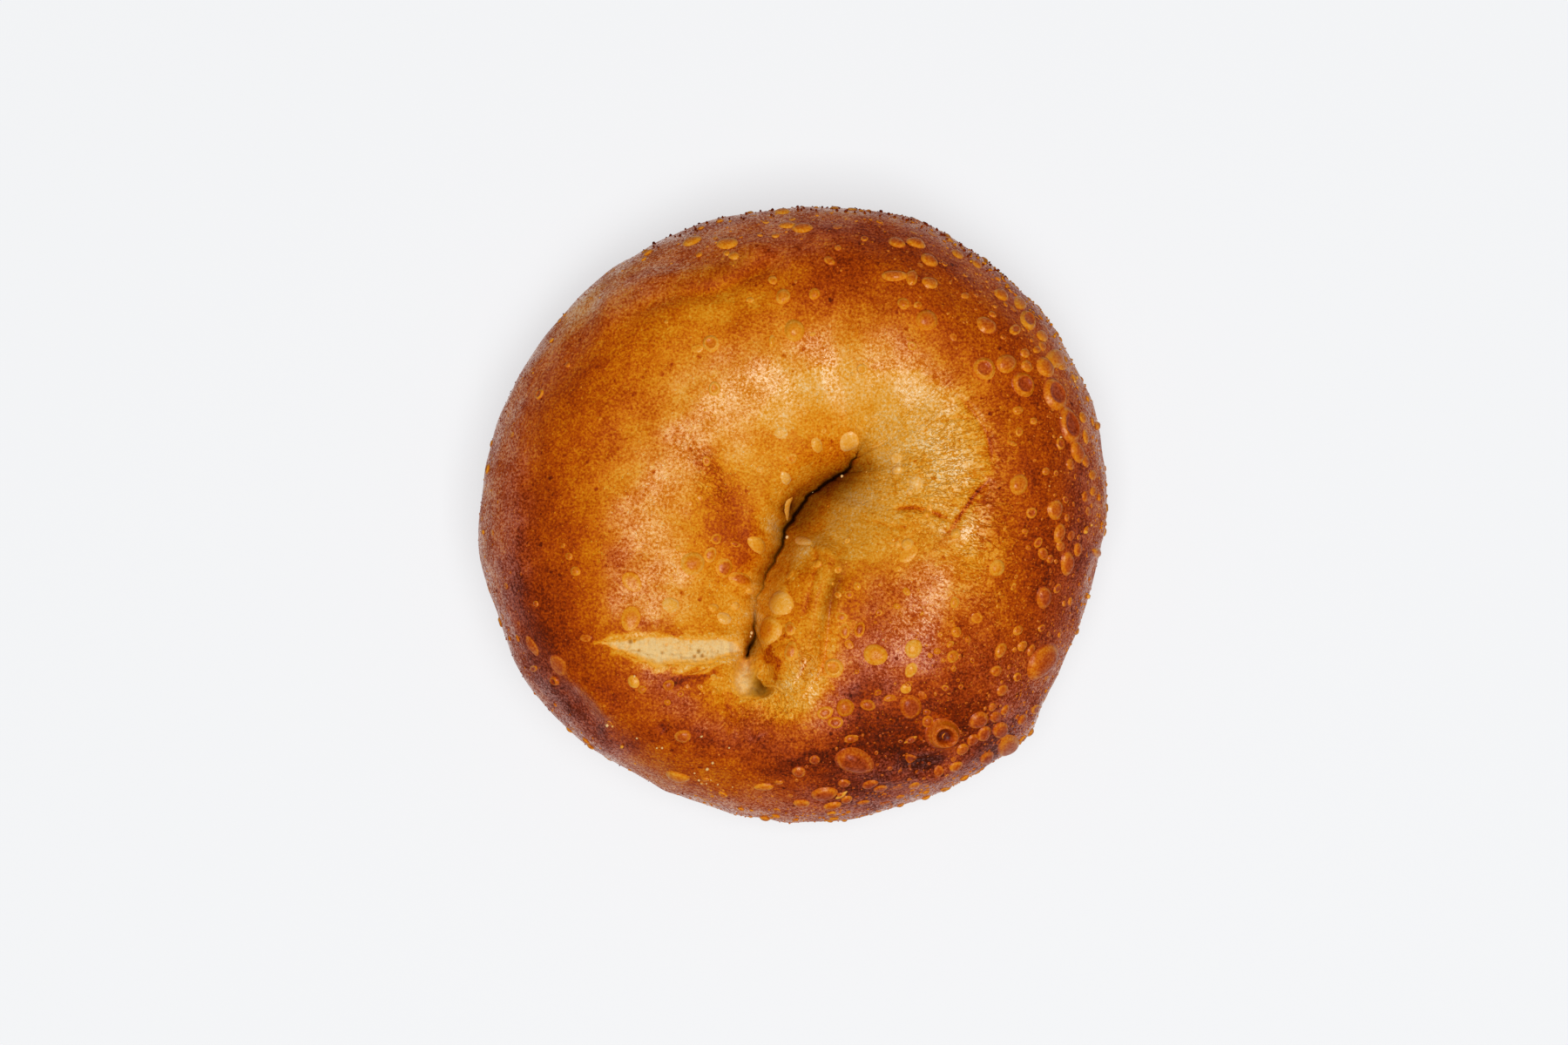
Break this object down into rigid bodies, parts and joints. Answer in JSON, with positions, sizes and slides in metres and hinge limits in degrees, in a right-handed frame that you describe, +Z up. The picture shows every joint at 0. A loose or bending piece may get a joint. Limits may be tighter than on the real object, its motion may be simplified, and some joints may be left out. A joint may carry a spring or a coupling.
{
  "type": "bagel",
  "caption": "Plain baked bagel, its hole closed to a curved slit, with a glossy blistered crust, skin folds and a burst crack that shows pale crumb.",
  "frame": {"origin": "middle of the bagel's box, on the flat underside that it rests on", "axes": "+Z up out of the slit side, +X to the blistered side along the longest extent, +Y away from the burst crack"},
  "size_m": [0.1098, 0.108, 0.0417],
  "materials": {
    "crust": null
  },
  "bodies": {
    "root": {"bagel": "crust"}
  },
  "joints": []
}
